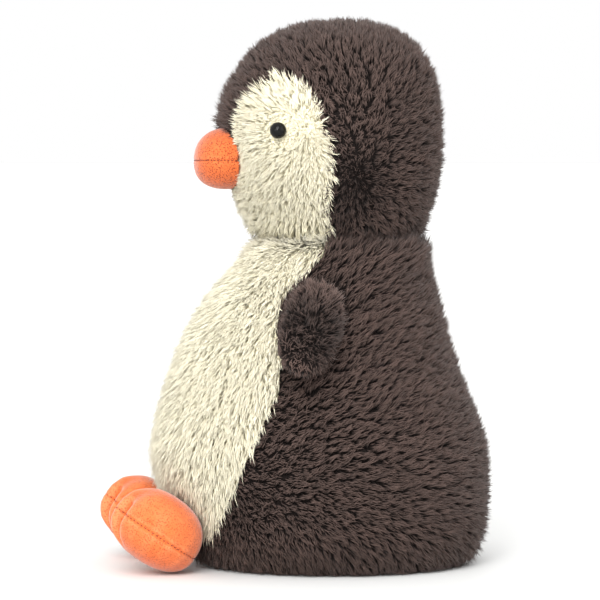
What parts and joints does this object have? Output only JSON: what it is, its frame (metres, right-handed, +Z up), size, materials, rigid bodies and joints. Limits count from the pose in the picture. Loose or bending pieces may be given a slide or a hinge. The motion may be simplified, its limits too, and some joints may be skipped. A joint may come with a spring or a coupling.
{
  "type": "plush penguin",
  "caption": "Seated soft toy penguin in long-pile plush with a pear-shaped weighted body, round head, stub flippers, suede beak and plump tipped-up feet.",
  "frame": {"origin": "centre of the bounding box at the floor", "axes": "+Z up, the penguin faces -Y, its left side is +X"},
  "size_m": [0.1558, 0.1584, 0.2255],
  "materials": {
    "cream_plush": "long soft pile, cream",
    "charcoal_plush": "long soft pile, charcoal brown",
    "orange_suede": "short-napped suede cloth with fine darker specks",
    "eye_bead": "polished black bead",
    "washer_plastic": "moulded locking washer, hidden",
    "canvas": "plain woven inner bag, hidden",
    "pellets": "loose pellets, hidden",
    "fibre_filling": "polyester fibre, hidden"
  },
  "bodies": {
    "torso": {"belly_panel": "cream_plush", "side_panel_left": "charcoal_plush", "side_panel_right": "charcoal_plush", "base_panel": "charcoal_plush", "pellet_bag": "canvas", "pellets": "pellets", "body_filling": "fibre_filling"},
    "neck": {"neck_filling": "fibre_filling"},
    "head": {"face_left": "cream_plush", "face_right": "cream_plush", "crown_gusset": "charcoal_plush", "hood_left": "charcoal_plush", "hood_right": "charcoal_plush", "head_filling": "fibre_filling", "beak_upper": "orange_suede", "beak_lower": "orange_suede", "beak_filling": "fibre_filling", "eye_left": "eye_bead", "eye_right": "eye_bead", "eye_washer_left": "washer_plastic", "eye_washer_right": "washer_plastic"},
    "flipper_left": {"flipper_outer_left": "charcoal_plush", "flipper_inner_left": "charcoal_plush", "flipper_filling_left": "fibre_filling"},
    "foot_left": {"foot_upper_left": "orange_suede", "foot_sole_left": "orange_suede", "foot_filling_left": "fibre_filling"},
    "flipper_right": {"flipper_outer_right": "charcoal_plush", "flipper_inner_right": "charcoal_plush", "flipper_filling_right": "fibre_filling"},
    "foot_right": {"foot_upper_right": "orange_suede", "foot_sole_right": "orange_suede", "foot_filling_right": "fibre_filling"}
  },
  "joints": [
    {"name": "neck_turn", "type": "hinge", "parent": "torso", "child": "neck", "pos_m": [0, 0.0193, 0.137], "axis": [0, 0, 1], "range_deg": [-18, 18], "stiffness_Nm_per_rad": 0.12},
    {"name": "head_nod", "type": "hinge", "parent": "neck", "child": "head", "pos_m": [0, 0.0193, 0.137], "axis": [1, 0, 0], "range_deg": [-9, 9], "stiffness_Nm_per_rad": 0.4},
    {"name": "flipper_left_flap", "type": "hinge", "parent": "torso", "child": "flipper_left", "pos_m": [0.0495, 0.0055, 0.114], "axis": [0, -0.8988, 0.4384], "range_deg": [-12, 60], "stiffness_Nm_per_rad": 0.02},
    {"name": "flipper_right_flap", "type": "hinge", "parent": "torso", "child": "flipper_right", "pos_m": [-0.0495, 0.0055, 0.114], "axis": [0, 0.8988, -0.4384], "range_deg": [-12, 60], "stiffness_Nm_per_rad": 0.02},
    {"name": "foot_left_tip", "type": "hinge", "parent": "torso", "child": "foot_left", "pos_m": [0.029, -0.0465, 0.033], "axis": [-1, 0, 0], "range_deg": [0, 22], "stiffness_Nm_per_rad": 0.04},
    {"name": "foot_right_tip", "type": "hinge", "parent": "torso", "child": "foot_right", "pos_m": [-0.029, -0.0465, 0.033], "axis": [-1, 0, 0], "range_deg": [0, 22], "stiffness_Nm_per_rad": 0.04}
  ]
}
